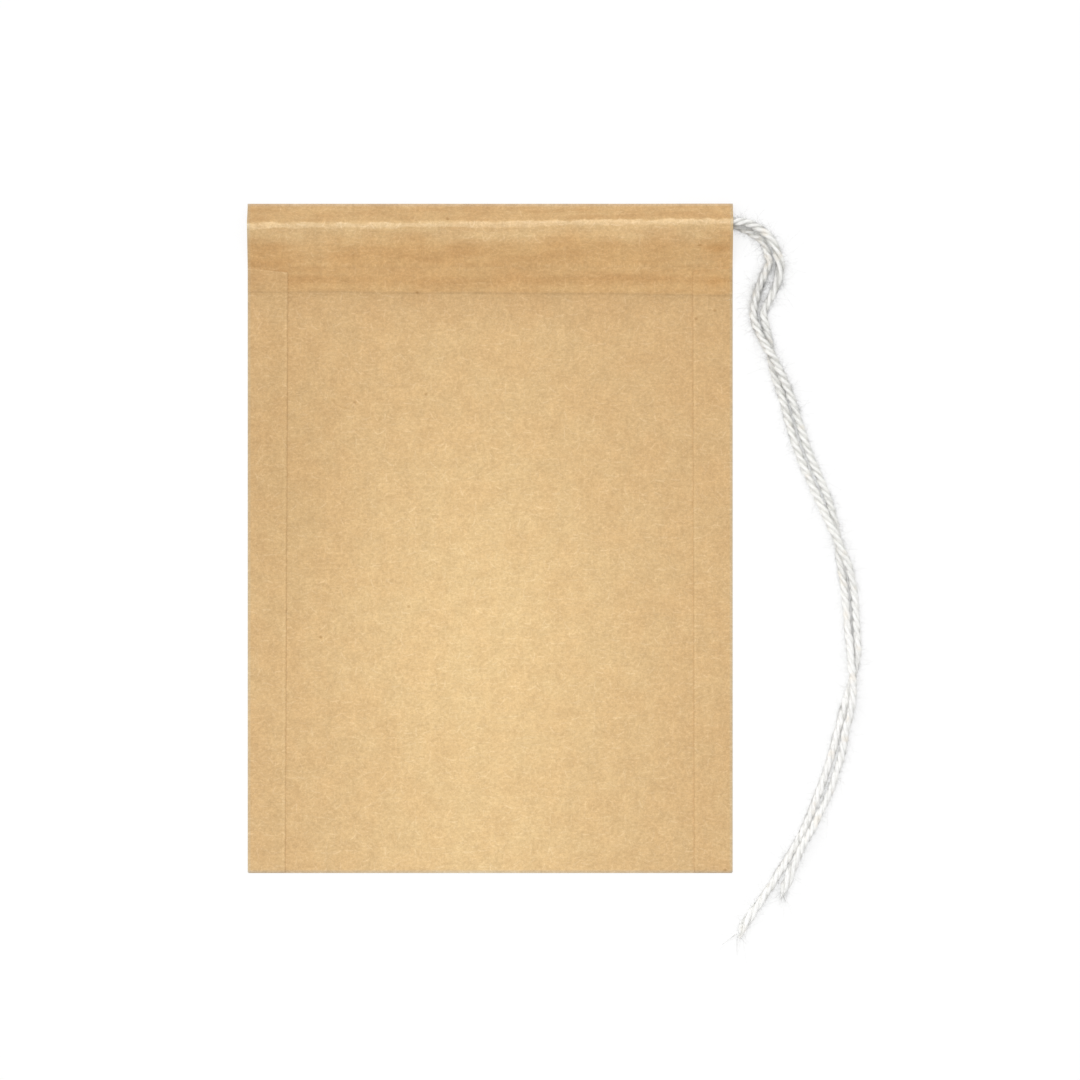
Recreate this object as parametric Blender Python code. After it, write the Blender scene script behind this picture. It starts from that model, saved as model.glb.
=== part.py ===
"""Reusable drawstring tea bag, lying flat and empty: one folded sheet of filter paper and one cotton string.

Metres, +Z up. The bag lies on its back. X runs across it, with the string leaving at +X, and Y runs up to its
mouth. The origin is the centre of the underside of the paper.
"""
import math

import bmesh
import bpy
from mathutils import Vector

# The paper and how it is folded
BAG_WIDTH = 0.065
BAG_HEIGHT = 0.0897
PAPER_THICKNESS = 0.0001
LAYER_GAP = 0.00008          # between two pressed layers, where the glue lies
HEM_DEPTH = 0.0118           # how far each top edge is turned in
FLAP_WIDTH = 0.0053          # how far each side of the back is folded over the front
FLAP_RISE = 0.0028           # how far the side flaps reach up over the hem
FLAP_SLANT = 0.0003          # how much lower a flap's inner corner sits
FLAP_NOTCH = 0.0003          # above each flap, the edge steps in from the hem's width to the fold
FLAP_NOTCH_END = 0.00008     # the step ends this far above the flap
GLUE_RISE = 0.0008           # the hem is glued flat from this far above the flaps
BOTTOM_TRIM = 0.0003         # the flaps stop this far above the bottom fold
HEM_STEP_RUN = 0.0012        # length over which the front drops from the hem to a single layer

# The string and where it runs inside the two hems, measured down from the top edge
CORD_DIAMETER = 0.0011
CORD_CLEARANCE = 0.0001
FRONT_CORD_DEPTH_LEFT = 0.0028
FRONT_CORD_DEPTH_RIGHT = 0.0024
BACK_CORD_DEPTH = 0.0042
BACK_CORD_DEPTH_EXIT = 0.0029
EXIT_RUN = 0.016             # the back string closes up to the front one over this length
TURN_MARGIN = 0.0003         # paper left of the string's turn inside the hem

# The paper over each string
SLOPE_ABOVE = math.radians(45)
FOLD_ROOM = 0.0006           # the rows of the hem start this far below the top edge, past its fold

# How finely the shapes are drawn
HEM_ROW_STEP = 0.00028
EXIT_STEPS = 5
FOLD_STEPS = 6
TURN_STEPS = 6
CURVE_STEPS = 20             # fine steps between two chosen points of a strand
CORD_POINT_SPACING = 0.0034

# The two free strands: millimetres right of the bag's edge, below its top, then the lift in string diameters
FRONT_STRAND = (
    (1.0, 2.5, 1.35), (2.1, 2.7, 1.10), (4.3, 3.9, 0.75), (5.8, 6.1, 0.52), (6.3, 8.7, 0.04),
    (5.7, 11.3, 0.0), (4.3, 14.1, 0.0), (4.2, 15.6, 0.0), (5.0, 19.2, 0.0), (5.2, 21.2, 0.0),
    (5.7, 23.2, 0.0), (6.4, 25.3, 0.0), (7.1, 27.7, 0.0), (8.0, 31.0, 0.0), (9.2, 34.4, 0.0),
    (11.2, 39.0, 0.10), (12.7, 42.4, 0.85), (13.4, 43.8, 1.09), (14.6, 46.5, 1.09), (15.3, 47.9, 0.80),
    (16.1, 51.0, 0.06), (16.4, 53.6, 0.0), (16.6, 57.0, 0.0), (16.7, 60.0, 0.0), (16.4, 62.4, 0.0),
    (15.7, 64.9, 0.0), (14.8, 68.0, 0.0), (13.4, 73.3, 0.0), (12.6, 76.0, 0.0), (11.6, 78.8, 0.0),
    (10.6, 81.4, 0.0), (9.5, 84.0, 0.0), (8.4, 86.1, 0.0), (7.1, 88.2, 0.0), (5.7, 90.5, 0.0),
    (4.1, 93.0, 0.0), (2.7, 95.0, 0.0), (1.5, 96.8, 0.0), (0.8, 98.4, 0.0),
)
BACK_STRAND = (
    (1.0, 3.2, 0.06), (3.1, 4.3, 0.0), (4.0, 5.1, 0.0), (4.8, 7.2, 0.0), (4.8, 8.3, 0.0),
    (4.2, 9.6, 0.0), (3.2, 12.3, 0.0), (2.8, 15.3, 0.14), (3.8, 18.0, 0.85), (5.1, 20.2, 1.13),
    (6.3, 22.4, 0.90), (7.6, 25.3, 0.18), (8.4, 27.7, 0.0), (9.4, 31.0, 0.0), (10.6, 34.4, 0.0),
    (11.8, 37.1, 0.0), (12.8, 39.6, 0.0), (13.5, 42.0, 0.0), (13.9, 44.0, 0.0), (14.2, 46.2, 0.0),
    (14.5, 48.6, 0.0), (14.9, 51.2, 0.0), (15.2, 54.0, 0.0), (15.4, 56.8, 0.08), (15.6, 59.0, 0.42),
    (15.7, 60.7, 0.80), (15.9, 62.3, 1.07), (16.1, 65.3, 1.07), (16.0, 66.8, 0.88), (15.7, 68.6, 0.62),
    (15.2, 70.4, 0.42), (14.6, 73.8, 0.0), (13.9, 76.2, 0.0), (13.0, 78.8, 0.0), (11.9, 81.2, 0.16),
    (10.4, 84.1, 0.90), (9.0, 86.7, 0.84), (7.9, 89.3, 0.10), (7.3, 90.7, 0.0), (6.5, 92.9, 0.0),
)
STRAND_UNIT = 0.001
CORD_FLOOR_GAP = 0.00005     # the string's underside lies this far above the bag's

# Worked out from the sizes above
HALF_WIDTH = BAG_WIDTH / 2
HALF_HEIGHT = BAG_HEIGHT / 2
FLAP_DEPTH = HEM_DEPTH - FLAP_RISE
CHANNEL_DEPTH = FLAP_DEPTH - GLUE_RISE
NOTCH_TOP = FLAP_DEPTH - FLAP_NOTCH
NOTCH_BOTTOM = FLAP_DEPTH - FLAP_NOTCH_END
LAYER_PITCH = PAPER_THICKNESS + LAYER_GAP
CORD_RADIUS = CORD_DIAMETER / 2
TENT_RADIUS = CORD_RADIUS + CORD_CLEARANCE + PAPER_THICKNESS / 2
BACK_OUTER_Z = PAPER_THICKNESS / 2
BACK_INNER_Z = BACK_OUTER_Z + LAYER_PITCH
FRONT_INNER_Z = BACK_INNER_Z + LAYER_PITCH
FRONT_HEM_Z = FRONT_INNER_Z + LAYER_PITCH
FRONT_PANEL_Z = BACK_OUTER_Z + LAYER_PITCH
BACK_CORD_Z = BACK_OUTER_Z + TENT_RADIUS


def clear_scene():
    for obj in list(bpy.data.objects):
        bpy.data.objects.remove(obj)


def smooth_step(t):
    """0 below 0, 1 above 1, and an even S between them."""
    t = min(max(t, 0.0), 1.0)
    return t * t * (3 - 2 * t)


def tent(run, radius, slope):
    """Height over a string's centre, this far to one side: an arc, then a straight slope that touches it."""
    arc_run = radius * math.sin(slope)
    if run <= arc_run:
        return math.sqrt(radius * radius - run * run)
    return radius * math.cos(slope) - (run - arc_run) * math.tan(slope)


def paper_over(cord_depth, cord_z, radius, flat_z, depth):
    """Height of a layer that is flat at flat_z where the hem is glued, and rises over a string above that."""
    if depth < cord_depth:
        return max(flat_z, cord_z + tent(cord_depth - depth, radius, SLOPE_ABOVE))
    reach = CHANNEL_DEPTH - cord_depth
    rise = cord_z - flat_z
    slope = math.atan2(rise, reach) + math.asin(radius / math.hypot(rise, reach))
    return max(flat_z, cord_z + tent(depth - cord_depth, radius, slope))


def front_cord_depth(x):
    share = (x + HALF_WIDTH) / BAG_WIDTH
    return FRONT_CORD_DEPTH_LEFT + share * (FRONT_CORD_DEPTH_RIGHT - FRONT_CORD_DEPTH_LEFT)


def back_cord_depth(x):
    share = smooth_step((x - (HALF_WIDTH - EXIT_RUN)) / EXIT_RUN)
    return BACK_CORD_DEPTH + share * (BACK_CORD_DEPTH_EXIT - BACK_CORD_DEPTH)


def front_cord_z(x):
    """The front string rests on the paper that covers the back string."""
    offset = back_cord_depth(x) - front_cord_depth(x)
    resting = BACK_CORD_Z + tent(offset, 2 * TENT_RADIUS + LAYER_PITCH, SLOPE_ABOVE)
    return max(FRONT_INNER_Z + TENT_RADIUS, resting)


def front_cord_at(x):
    return Vector((x, HALF_HEIGHT - front_cord_depth(x), front_cord_z(x)))


def back_cord_at(x):
    return Vector((x, HALF_HEIGHT - back_cord_depth(x), BACK_CORD_Z))


# The string turns from the front hem into the back hem just inside the left edge
TURN_GAUGE_X = -HALF_WIDTH + CORD_DIAMETER
TURN_RADIUS = (front_cord_at(TURN_GAUGE_X) - back_cord_at(TURN_GAUGE_X)).length / 2
TURN_X = -HALF_WIDTH + TURN_MARGIN + CORD_RADIUS + TURN_RADIUS


def back_inner_z(x, depth):
    return paper_over(back_cord_depth(x), BACK_CORD_Z, TENT_RADIUS, BACK_INNER_Z, depth)


def front_inner_z(x, depth):
    return paper_over(back_cord_depth(x), BACK_CORD_Z, TENT_RADIUS + LAYER_PITCH, FRONT_INNER_Z, depth)


def front_outer_z(x, depth):
    if depth > HEM_DEPTH:
        drop = min((depth - HEM_DEPTH) / HEM_STEP_RUN, 1.0)
        return FRONT_HEM_Z + drop * (FRONT_PANEL_Z - FRONT_HEM_Z)
    radius = TENT_RADIUS + 2 * LAYER_PITCH
    over_back_cord = paper_over(back_cord_depth(x), BACK_CORD_Z, radius, FRONT_HEM_Z, depth)
    over_front_cord = paper_over(front_cord_depth(x), front_cord_z(x), TENT_RADIUS, FRONT_HEM_Z, depth)
    return max(over_back_cord, over_front_cord)


def back_outer_z(x, depth):
    return BACK_OUTER_Z


def flap_z(depth):
    return front_outer_z(HALF_WIDTH, max(depth, CHANNEL_DEPTH)) + LAYER_PITCH


def half_width_at(depth):
    """Half the width of the flat layers: all of it in the hem, less where the side flaps wrap round them."""
    if depth <= NOTCH_TOP:
        return HALF_WIDTH
    fold_radius = (flap_z(depth) - BACK_OUTER_Z) / 2
    return HALF_WIDTH - PAPER_THICKNESS / 2 - fold_radius


def column_positions(depth):
    """Places across the bag, from the left edge to the right one."""
    edge = half_width_at(depth)
    inner = [TURN_X, 0.0]
    inner += [HALF_WIDTH - EXIT_RUN * (EXIT_STEPS - i) / EXIT_STEPS for i in range(EXIT_STEPS)]
    return [-edge] + inner + [edge]


def hem_depths():
    """Rows down the hem: close together over the strings, then at the side flaps and the turned-in edge."""
    steps = math.ceil((CHANNEL_DEPTH - FOLD_ROOM) / HEM_ROW_STEP)
    rows = [FOLD_ROOM + (CHANNEL_DEPTH - FOLD_ROOM) * i / steps for i in range(steps + 1)]
    return rows + [NOTCH_TOP, NOTCH_BOTTOM, FLAP_DEPTH, HEM_DEPTH]


def panel_depths():
    return [HEM_DEPTH + HEM_STEP_RUN, BAG_HEIGHT - BOTTOM_TRIM]


def depth_at(x, row_depth):
    """Depth of a row at x. Rows over the strings move up with the back string towards the exit."""
    centre = back_cord_depth(x)
    if row_depth < BACK_CORD_DEPTH:
        share = (row_depth - FOLD_ROOM) / (BACK_CORD_DEPTH - FOLD_ROOM)
        return FOLD_ROOM + share * (centre - FOLD_ROOM)
    if row_depth < CHANNEL_DEPTH:
        share = (row_depth - BACK_CORD_DEPTH) / (CHANNEL_DEPTH - BACK_CORD_DEPTH)
        return centre + share * (CHANNEL_DEPTH - centre)
    return row_depth


def layer_row(height, row_depth):
    points = []
    for x in column_positions(row_depth):
        depth = depth_at(x, row_depth)
        points.append(Vector((x, HALF_HEIGHT - depth, height(x, depth))))
    return points


def layer_rows(height, depths):
    """Rows of points over the bag, each row from left to right."""
    return [layer_row(height, depth) for depth in depths]


def fold_rows(first, last, edge_y, side):
    """Rows round a half-circle fold from one layer to the next. side is 1 at the top and -1 at the bottom."""
    rows = []
    for i in range(FOLD_STEPS + 1):
        angle = math.pi * (i / FOLD_STEPS - 0.5)
        row = []
        for a, b in zip(first, last):
            radius = (b.z - a.z) / 2
            bulge = min(abs(radius), FOLD_ROOM - PAPER_THICKNESS / 2)
            reach = bulge * (math.cos(angle) - 1) - PAPER_THICKNESS / 2
            row.append(Vector((a.x, edge_y + side * reach, (a.z + b.z) / 2 + radius * math.sin(angle))))
        rows.append(row)
    return rows


def add_rows(mesh, rows):
    return [[mesh.verts.new(point) for point in row] for row in rows]


def join_rows(mesh, rows, skip=()):
    """Faces between neighbouring rows, leaving out the cells in skip, given as row and column."""
    for r in range(len(rows) - 1):
        for c in range(len(rows[r]) - 1):
            if (r, c) not in skip:
                mesh.faces.new((rows[r][c], rows[r][c + 1], rows[r + 1][c + 1], rows[r + 1][c]))


def flap_row(edge_vertex, depth, side, inner_drop):
    """One row across a side flap: round the fold from the back's edge, then flat over the front."""
    radius = (flap_z(depth) - BACK_OUTER_Z) / 2
    centre_x = HALF_WIDTH - PAPER_THICKNESS / 2 - radius
    points = []
    for i in range(1, FOLD_STEPS + 1):
        angle = math.pi * (i / FOLD_STEPS - 0.5)
        x = centre_x + radius * math.cos(angle)
        z = BACK_OUTER_Z + radius + radius * math.sin(angle)
        points.append(Vector((side * x, edge_vertex.co.y, z)))
    inner_y = edge_vertex.co.y - inner_drop
    points.append(Vector((side * (HALF_WIDTH - FLAP_WIDTH), inner_y, flap_z(depth))))
    return points


def add_flap(mesh, back_rows, depths, side):
    """Folds one side of the back over the front, from the first of these rows to the last."""
    column = 0 if side < 0 else -1
    rows = []
    for row, depth in zip(back_rows, depths):
        edge = row[column]
        inner_drop = FLAP_SLANT if depth == FLAP_DEPTH else 0.0
        rows.append([edge] + [mesh.verts.new(p) for p in flap_row(edge, depth, side, inner_drop)])
    join_rows(mesh, rows)


def paper_surface():
    """The middle surface of the folded sheet, from the front's turned-in edge round to the back's."""
    mesh = bmesh.new()
    hem = hem_depths()
    panel = panel_depths()
    front_inner = layer_rows(front_inner_z, hem)[::-1]
    front_outer = layer_rows(front_outer_z, hem + panel)
    back_outer = layer_rows(back_outer_z, hem + panel)[::-1]
    back_inner = layer_rows(back_inner_z, hem)
    pieces = (
        front_inner,
        fold_rows(front_inner[-1], front_outer[0], HALF_HEIGHT, 1),
        front_outer,
        fold_rows(front_outer[-1], back_outer[0], -HALF_HEIGHT, -1),
        back_outer,
        fold_rows(back_outer[-1], back_inner[0], HALF_HEIGHT, 1),
        back_inner,
    )
    rows = add_rows(mesh, [row for piece in pieces for row in piece])
    channel = sum(d <= CHANNEL_DEPTH for d in hem)
    first = len(hem) - channel
    last = len(rows) - len(hem)
    skip = {(first + i, 0) for i in range(channel - 1)} | {(last + i, 0) for i in range(channel - 1)}
    join_rows(mesh, rows, skip)
    back_start = sum(len(piece) for piece in pieces[:4])
    back_vertices = rows[back_start:back_start + len(back_outer)]
    back_depths = (hem + panel)[::-1]
    wrapped = [i for i, d in enumerate(back_depths) if d >= FLAP_DEPTH]
    for side in (-1, 1):
        add_flap(mesh, [back_vertices[i] for i in wrapped], [back_depths[i] for i in wrapped], side)
    bmesh.ops.recalc_face_normals(mesh, faces=mesh.faces)
    return mesh


def principled(name, colour, roughness):
    material = bpy.data.materials.new(name)
    material.use_nodes = True
    shader = material.node_tree.nodes["Principled BSDF"]
    shader.inputs["Base Color"].default_value = (*colour, 1)
    shader.inputs["Roughness"].default_value = roughness
    shader.inputs["Metallic"].default_value = 0
    return material


def make_paper_bag():
    surface = paper_surface()
    data = bpy.data.meshes.new("paper_bag")
    surface.to_mesh(data)
    surface.free()
    bag = bpy.data.objects.new("paper_bag", data)
    bpy.context.collection.objects.link(bag)
    solid = bag.modifiers.new("thickness", "SOLIDIFY")
    solid.thickness = PAPER_THICKNESS
    solid.offset = 0
    solid.use_even_offset = True
    data.materials.append(principled("filter_paper", (0.66, 0.46, 0.23), 0.9))
    return bag


def free_strand(exit_point, inside_point, route):
    """Points of a free strand, from just inside the hem to its end, through the chosen route."""
    corner = Vector((HALF_WIDTH, HALF_HEIGHT, CORD_RADIUS + CORD_FLOOR_GAP))
    chosen = [
        corner + Vector((right * STRAND_UNIT, -below * STRAND_UNIT, lift * CORD_DIAMETER))
        for right, below, lift in route
    ]
    return smooth_curve([inside_point, exit_point] + chosen)[1:]


def smooth_curve(points):
    """Even points, CORD_POINT_SPACING apart, on a Catmull-Rom curve from the second point to the last."""
    points = points + [2 * points[-1] - points[-2]]
    dense = []
    for a, b, c, d in zip(points, points[1:], points[2:], points[3:]):
        for i in range(CURVE_STEPS):
            t = i / CURVE_STEPS
            bend = (2 * a - 5 * b + 4 * c - d) * t**2
            twist = (3 * b - a - 3 * c + d) * t**3
            dense.append((2 * b + (c - a) * t + bend + twist) / 2)
    dense.append(points[-2])
    travelled = [0.0]
    for a, b in zip(dense, dense[1:]):
        travelled.append(travelled[-1] + (b - a).length)
    steps = round(travelled[-1] / CORD_POINT_SPACING)
    even, i = [], 0
    for k in range(steps + 1):
        wanted = travelled[-1] * k / steps
        while i < len(dense) - 2 and travelled[i + 1] < wanted:
            i += 1
        share = (wanted - travelled[i]) / (travelled[i + 1] - travelled[i])
        even.append(dense[i].lerp(dense[i + 1], share))
    return even


def hem_turn():
    """Half a circle, from the string in the front hem to the string in the back hem."""
    front, back = front_cord_at(TURN_X), back_cord_at(TURN_X)
    centre = (front + back) / 2
    arm = front - centre
    reach = Vector((-arm.length, 0, 0))
    points = []
    for i in range(1, TURN_STEPS):
        angle = math.pi * i / TURN_STEPS
        points.append(centre + arm * math.cos(angle) + reach * math.sin(angle))
    return points


def make_drawstring():
    stations = column_positions(0)[1:]
    front_hem = [front_cord_at(x) for x in stations]
    back_hem = [back_cord_at(x) for x in stations]
    front_free = free_strand(front_hem[-1], front_hem[-2], FRONT_STRAND)
    back_free = free_strand(back_hem[-1], back_hem[-2], BACK_STRAND)
    route = front_free[::-1] + front_hem[::-1] + hem_turn() + back_hem + back_free
    curve = bpy.data.curves.new("drawstring", "CURVE")
    curve.dimensions = "3D"
    curve.bevel_depth = CORD_RADIUS
    curve.bevel_resolution = 2
    curve.use_fill_caps = True
    spline = curve.splines.new("POLY")
    spline.points.add(len(route) - 1)
    for point, place in zip(spline.points, route):
        point.co = (*place, 1)
    cord = bpy.data.objects.new("drawstring", curve)
    bpy.context.collection.objects.link(cord)
    curve.materials.append(principled("cotton_string", (0.86, 0.85, 0.81), 0.85))
    return cord


clear_scene()
make_paper_bag()
make_drawstring()
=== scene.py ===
"""Looks of the reusable tea bag: a flat, empty bag of folded filter paper with a cotton drawstring.

Metres, in the frame of the CAD model: the bag lies on its back, X runs across it and Y up to its mouth.
"""

import bpy
import numpy as np
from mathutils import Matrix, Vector


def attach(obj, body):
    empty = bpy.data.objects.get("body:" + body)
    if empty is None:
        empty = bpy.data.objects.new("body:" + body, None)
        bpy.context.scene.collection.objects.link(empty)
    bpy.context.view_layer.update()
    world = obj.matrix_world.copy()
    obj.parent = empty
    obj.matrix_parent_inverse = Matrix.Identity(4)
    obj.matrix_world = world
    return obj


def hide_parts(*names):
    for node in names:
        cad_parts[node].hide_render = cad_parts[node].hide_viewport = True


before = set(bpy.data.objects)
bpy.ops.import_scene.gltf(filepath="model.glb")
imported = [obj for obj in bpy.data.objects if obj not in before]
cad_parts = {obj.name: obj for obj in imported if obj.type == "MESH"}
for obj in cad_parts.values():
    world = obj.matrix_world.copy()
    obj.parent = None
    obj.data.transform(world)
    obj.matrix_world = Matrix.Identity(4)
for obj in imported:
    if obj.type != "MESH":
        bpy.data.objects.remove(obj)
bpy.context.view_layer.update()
scene = bpy.context.scene


# Camera. It looks straight down on the bag, as the photograph does, through a long lens.
# The square picture is 144.8 mm of floor wide.
picture_width = 0.1448
picture_middle = (0.00668, -0.00021)
camera = bpy.data.objects.new("camera", bpy.data.cameras.new("camera"))
camera.data.lens = 200
camera.data.sensor_width = 36
camera_height = picture_width * camera.data.lens / camera.data.sensor_width
camera.location = (*picture_middle, camera_height)
scene.collection.objects.link(camera)
scene.camera = camera
scene.view_settings.view_transform = "Standard"


# Table and studio light. The table is a plain white sheet, and the light is an even white room with
# one large soft window beyond the top left of the bag. Together they give a level of about one.
class Wire:
    """One output of a shader node. Arithmetic on it adds Math nodes and gives the result's output."""

    def __init__(self, socket):
        self.socket = socket

    def node(self, kind, settings=None, inputs=None, output=0):
        """A new node in the same material: its type, its settings, then its sockets' values or wires."""
        made = self.socket.id_data.nodes.new("ShaderNode" + kind)
        for name, value in (settings or {}).items():
            setattr(made, name, value)
        for name, value in (inputs or {}).items():
            if isinstance(value, Wire):
                made.id_data.links.new(value.socket, made.inputs[name])
            else:
                made.inputs[name].default_value = value
        return Wire(made.outputs[output])

    def also(self, output):
        """Another output of the same node."""
        return Wire(self.socket.node.outputs[output])

    def math(self, operation, *values):
        return self.node("Math", {"operation": operation}, dict(enumerate(values)))

    def vector_math(self, operation, *values, output=0):
        return self.node("VectorMath", {"operation": operation}, dict(enumerate(values)), output)

    def ramp(self, low, high):
        """A smooth climb from 0 to 1 as this value goes from low to high."""
        values = {"Value": self, "From Min": low, "From Max": high}
        return self.node("MapRange", {"interpolation_type": "SMOOTHSTEP"}, values)

    def bell(self, centre, width):
        """1 where this value is at the centre, falling off as a bell curve this wide."""
        away = (self - centre) / width
        power = away * away * -1
        return power.math("EXPONENT", power)

    def mix(self, first, second):
        """Colour first where this value is 0, and second where it is 1."""
        return self.node("Mix", {"data_type": "RGBA"}, {0: self, 6: first, 7: second}, 2)

    def tinted(self, share, tint):
        """This colour multiplied by a tint, as far as share says."""
        settings = {"data_type": "RGBA", "blend_type": "MULTIPLY"}
        return self.node("Mix", settings, {0: share, 6: self, 7: tint}, 2)

    def varied(self, share, first, second):
        """This colour multiplied by the first tint where share is 0, and by the second where it is 1."""
        return self.tinted(1.0, share.mix(first, second))

    def __add__(self, other):
        return self.math("ADD", self, other)

    def __sub__(self, other):
        return self.math("SUBTRACT", self, other)

    def __rsub__(self, other):
        return self.math("SUBTRACT", other, self)

    def __mul__(self, other):
        return self.math("MULTIPLY", self, other)

    def __truediv__(self, other):
        return self.math("DIVIDE", self, other)

    def __abs__(self):
        return self.math("ABSOLUTE", self)

    __radd__ = __add__
    __rmul__ = __mul__


def new_material(name, **constants):
    """A material with a Principled shader: the shader node and a wire to start its other nodes from."""
    material = bpy.data.materials.new(name)
    material.use_nodes = True
    shader = material.node_tree.nodes["Principled BSDF"]
    for socket, value in constants.items():
        shader.inputs[socket.replace("_", " ")].default_value = value
    return material, shader, Wire(shader.outputs[0])


room_light = 0.66
window_light = 0.42
window_spread = np.radians(60)
window_direction = Vector((0.26, -0.36, -0.90)).normalized()

room = bpy.data.worlds.new("room")
room.use_nodes = True
scene.world = room
room_background = room.node_tree.nodes["Background"]
room_background.inputs["Color"].default_value = (1, 1, 1, 1)
camera_ray = Wire(room_background.outputs[0]).node("LightPath", output="Is Camera Ray")
seen = camera_ray + camera_ray.also("Is Glossy Ray") + camera_ray.also("Is Transmission Ray")
level = seen.math("MINIMUM", seen, 1.0) * (1 - room_light) + room_light
room.node_tree.links.new(level.socket, room_background.inputs["Strength"])

window = bpy.data.objects.new("window", bpy.data.lights.new("window", "SUN"))
window.data.energy = window_light * np.pi / -window_direction.z
window.data.angle = window_spread
window.rotation_euler = window_direction.to_track_quat("-Z", "Y").to_euler()
scene.collection.objects.link(window)

table_half = 1.0
table_drop = 0.00002         # keeps the table's top clear of the paper's underside
table_mesh = bpy.data.meshes.new("table")
table_corners = np.array([(-1, -1, 0), (1, -1, 0), (1, 1, 0), (-1, 1, 0)]) * table_half
table_mesh.from_pydata((table_corners - (0, 0, table_drop)).tolist(), [], [(0, 1, 2, 3)])
table = bpy.data.objects.new("table", table_mesh)
scene.collection.objects.link(table)
camera_glow = 0.8            # lightens the shadow, for the camera alone
table_material, _, start = new_material("white_table", Base_Color=(0.98, 0.98, 0.98, 1), Roughness=1.0)
glow = start.node("Emission", inputs={"Color": (1, 1, 1, 1), "Strength": 1.0})
glow_share = start.node("LightPath", output="Is Camera Ray") * camera_glow
table_surface = start.node("MixShader", inputs={0: glow_share, 1: start, 2: glow})
table_output = table_material.node_tree.nodes["Material Output"]
table_material.node_tree.links.new(table_surface.socket, table_output.inputs["Surface"])
table_mesh.materials.append(table_material)


# Drawstring. One cotton string, three plies twisted together, about 1.1 mm thick and slightly fuzzy.
# It runs through the front hem, turns inside the left edge and comes back through the back hem. Its two
# ends lie loose on the table at the right. Here it is three pieces: two free strands and what the hems hide.
bag_width = 0.065
bag_height = 0.0897
half_width = bag_width / 2
half_height = bag_height / 2
string_width = 0.0011
solid_paper = 0.0001         # the CAD paper's thickness, which the string's height follows
solid_pitch = 0.00018        # from one of its layers to the next
string_room = 0.0001         # air between the string and the paper over it
tent_radius = string_width / 2 + string_room + solid_paper / 2      # from the string's centre to that paper
back_string_z = solid_paper / 2 + tent_radius
exit_run = 0.016             # the back string rises over this length before it leaves
table_clearance = 0.00005


def s_curve(share):
    """0 below 0, 1 above 1, and an even S between."""
    share = np.clip(share, 0, 1)
    return share * share * (3 - 2 * share)


def tent(run, radius, slope):
    """Height over a string's centre this far to one side: an arc, then a straight slope that touches it."""
    arc_run = radius * np.sin(slope)
    arc = np.sqrt(np.maximum(radius**2 - run**2, 0))
    return np.where(run <= arc_run, arc, radius * np.cos(slope) - (run - arc_run) * np.tan(slope))


def front_string_depth(x):
    """Depth below the mouth: a straight line from 2.8 mm at the left edge to 2.4 mm at the right one."""
    return 0.0028 - 0.0004 * (x + half_width) / bag_width


def back_string_depth(x):
    """Depth below the mouth: 4.2 mm, rising in an S to 2.9 mm where the string leaves on the right."""
    return 0.0042 - 0.0013 * s_curve((x - half_width + exit_run) / exit_run)


def front_string_z(x):
    """The front string rests on the paper that covers the back string."""
    offset = back_string_depth(x) - front_string_depth(x)
    resting = back_string_z + tent(offset, 2 * tent_radius + solid_pitch, np.radians(45))
    return np.maximum(solid_paper / 2 + 2 * solid_pitch + tent_radius, resting)


def front_string_at(x):
    return np.stack([x, half_height - front_string_depth(x), front_string_z(x)], -1)


def back_string_at(x):
    return np.stack([x, half_height - back_string_depth(x), np.full_like(x, back_string_z)], -1)


# The loose strands, from the hem to their ends: mm right of the bag's edge, mm below its top, and how far
# the string is lifted off the table, in its own diameters
front_strand = np.array([
    (1.0, 2.5, 1.35), (2.1, 2.7, 1.10), (4.3, 3.9, 0.75), (5.8, 6.1, 0.52), (6.3, 8.7, 0.04),
    (5.7, 11.3, 0.0), (4.3, 14.1, 0.0), (4.2, 15.6, 0.0), (5.0, 19.2, 0.0), (5.2, 21.2, 0.0),
    (5.7, 23.2, 0.0), (6.4, 25.3, 0.0), (7.1, 27.7, 0.0), (8.0, 31.0, 0.0), (9.2, 34.4, 0.0),
    (11.2, 39.0, 0.10), (12.7, 42.4, 0.85), (13.4, 43.8, 1.09), (14.6, 46.5, 1.09), (15.3, 47.9, 0.80),
    (16.1, 51.0, 0.06), (16.4, 53.6, 0.0), (16.6, 57.0, 0.0), (16.7, 60.0, 0.0), (16.4, 62.4, 0.0),
    (15.7, 64.9, 0.0), (14.8, 68.0, 0.0), (13.4, 73.3, 0.0), (12.6, 76.0, 0.0), (11.6, 78.8, 0.0),
    (10.6, 81.4, 0.0), (9.5, 84.0, 0.0), (8.4, 86.1, 0.0), (7.1, 88.2, 0.0), (5.7, 90.5, 0.0),
    (4.1, 93.0, 0.0), (2.7, 95.0, 0.0), (1.5, 96.8, 0.0), (0.8, 98.4, 0.0),
])
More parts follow.
